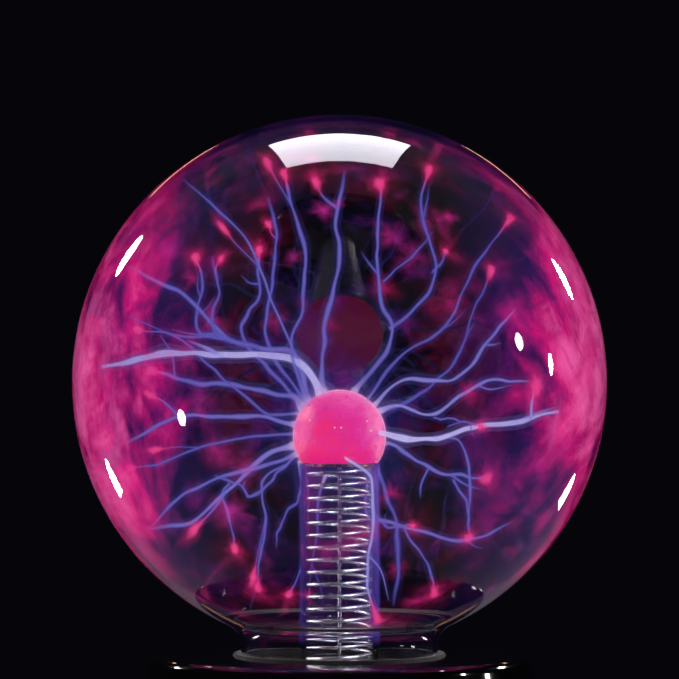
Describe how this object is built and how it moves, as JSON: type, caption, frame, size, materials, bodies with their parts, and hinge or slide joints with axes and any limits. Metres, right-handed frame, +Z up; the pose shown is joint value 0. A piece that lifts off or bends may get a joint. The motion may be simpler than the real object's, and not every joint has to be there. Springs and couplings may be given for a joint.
{
  "type": "plasma ball",
  "caption": "Desk plasma ball: clear glass globe with a central electrode ball on a coiled stem, on a round black base with a rocker switch and a knob.",
  "frame": {"origin": "on the desk, under the middle of the base", "axes": "+Z up along the globe's and the base's common axis, controls and power socket on the +Y side, +X to the right seen from the front (-Y)"},
  "size_m": [0.2, 0.2, 0.2742],
  "materials": {
    "globe_glass": "clear blown glass, fire polished",
    "stem_glass": "clear glass tube",
    "electrode_coating": "coated glass, opaque pink, lit by the discharge",
    "spring_steel": "bright drawn wire",
    "brass": "bright",
    "nylon": "natural moulded nylon",
    "soft_rubber": "matt",
    "silicone": "cured sealant",
    "screw_steel": "zinc plated",
    "gloss_black": "high gloss black moulding",
    "satin_black": "fine satin black moulding",
    "board_green": "green solder mask",
    "ferrite": "dark grey sintered ferrite",
    "bobbin_plastic": "black glass-filled plastic",
    "winding_tape": "yellow polyester tape",
    "copper_wire": "enamelled copper",
    "raw_aluminium": "plain extruded",
    "tinned_metal": "tinned or nickel plated",
    "black_epoxy": "moulded epoxy",
    "capacitor_sleeve": "dark blue sleeve",
    "film_epoxy": "dipped red-brown epoxy",
    "resistor_ceramic": "beige body",
    "rocker_red": "red moulded rocker",
    "pot_can": "pressed steel can",
    "knob_black": "satin knob",
    "silicone_wire": "red silicone insulation",
    "red_wire": "red PVC insulation",
    "yellow_wire": "yellow PVC insulation",
    "white_wire": "white PVC insulation"
  },
  "bodies": {
    "root": {"glass_globe": "globe_glass", "electrode_stem": "stem_glass", "electrode_ball": "electrode_coating", "exhaust_tip": "stem_glass", "stem_coil": "spring_steel", "center_rod": "spring_steel", "top_contact": "brass", "spring_seat": "brass", "stem_plug": "nylon", "rod_ferrule": "brass", "neck_pad": "soft_rubber", "silicone_bead": "silicone", "neck_gasket": "soft_rubber", "globe_socket": "nylon", "socket_screws": "screw_steel", "base_shell": "gloss_black", "base_tray": "satin_black", "base_screws": "screw_steel", "foot_1": "soft_rubber", "foot_2": "soft_rubber", "foot_3": "soft_rubber", "foot_4": "soft_rubber", "circuit_board": "board_green", "board_screws": "screw_steel", "ferrite_core_lower": "ferrite", "ferrite_core_upper": "ferrite", "transformer_bobbin": "bobbin_plastic", "secondary_winding": "winding_tape", "primary_turns": "copper_wire", "heat_sink": "raw_aluminium", "transistor_tab": "tinned_metal", "transistor_body": "black_epoxy", "transistor_screw": "screw_steel", "main_capacitor": "capacitor_sleeve", "small_capacitors": "capacitor_sleeve", "film_capacitor": "film_epoxy", "timer_chip": "black_epoxy", "resistors": "resistor_ceramic", "wire_headers": "nylon", "switch_housing": "satin_black", "switch_blades": "brass", "jack_body": "satin_black", "jack_pin": "tinned_metal", "jack_nut": "tinned_metal", "pot_body": "pot_can", "pot_nut": "tinned_metal", "microphone": "raw_aluminium", "mic_boot": "soft_rubber", "hv_lead": "silicone_wire", "power_leads": "red_wire", "pot_leads": "yellow_wire", "mic_leads": "white_wire"},
    "rocker": {"switch_rocker": "rocker_red"},
    "knob": {"sensitivity_knob": "knob_black", "pot_shaft": "raw_aluminium"}
  },
  "joints": [
    {"name": "rocker_tilt", "type": "hinge", "parent": "root", "child": "rocker", "pos_m": [0.025, 0.06041, 0.04505], "axis": [1, 0, 0], "range_deg": [-10, 10]},
    {"name": "knob_turn", "type": "hinge", "parent": "root", "child": "knob", "pos_m": [0.003, 0.06141, 0.04505], "axis": [0, 1, 0], "range_deg": [-135, 135]}
  ]
}
